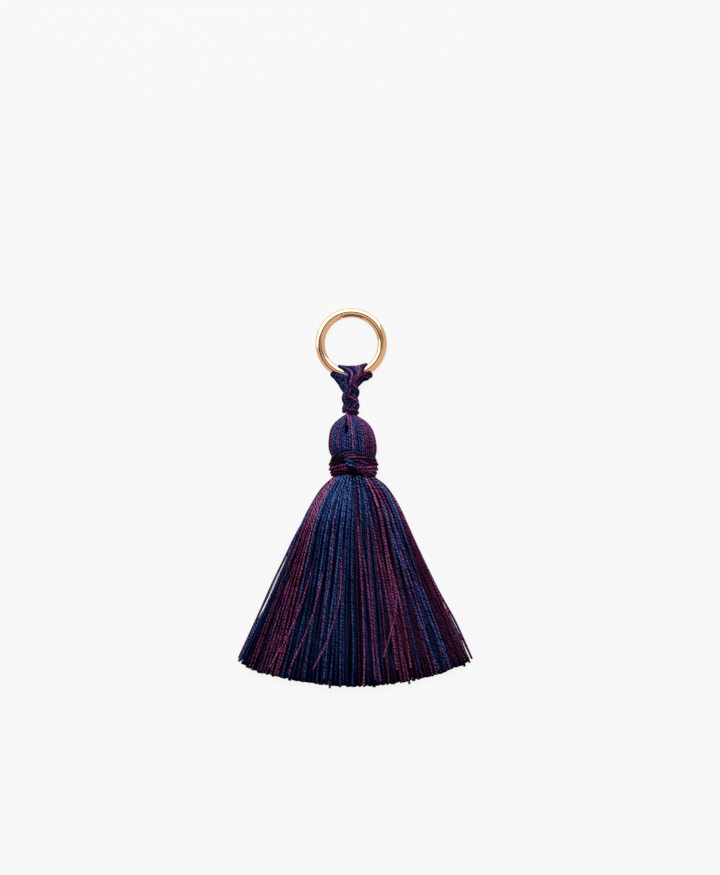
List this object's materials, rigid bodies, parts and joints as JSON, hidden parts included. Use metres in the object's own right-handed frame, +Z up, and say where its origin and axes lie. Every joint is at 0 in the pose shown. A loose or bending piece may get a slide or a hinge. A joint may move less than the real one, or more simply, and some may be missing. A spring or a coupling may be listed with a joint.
{
  "type": "tassel",
  "caption": "Fanned yarn tassel with a bound head, a plaited hanger and a round metal ring to hang it by.",
  "frame": {"origin": "middle of the tassel's outline, on the surface that it lies on", "axes": "+Y from the skirt's hem to the ring, +Z up off the surface, out of the tassel's face"},
  "size_m": [0.082, 0.1328, 0.0155],
  "materials": {
    "ring_metal": "polished rose gold plating",
    "hanger_yarn": "twisted cotton thread, blue and plum, soft sheen",
    "binding_yarn": "twisted cotton thread, dark plum and navy",
    "skirt_yarn": "twisted cotton thread, royal blue and plum strands, soft sheen"
  },
  "bodies": {
    "root": {"ring": "ring_metal", "hanger": "hanger_yarn", "binding": "binding_yarn", "tassel": "skirt_yarn"}
  },
  "joints": []
}
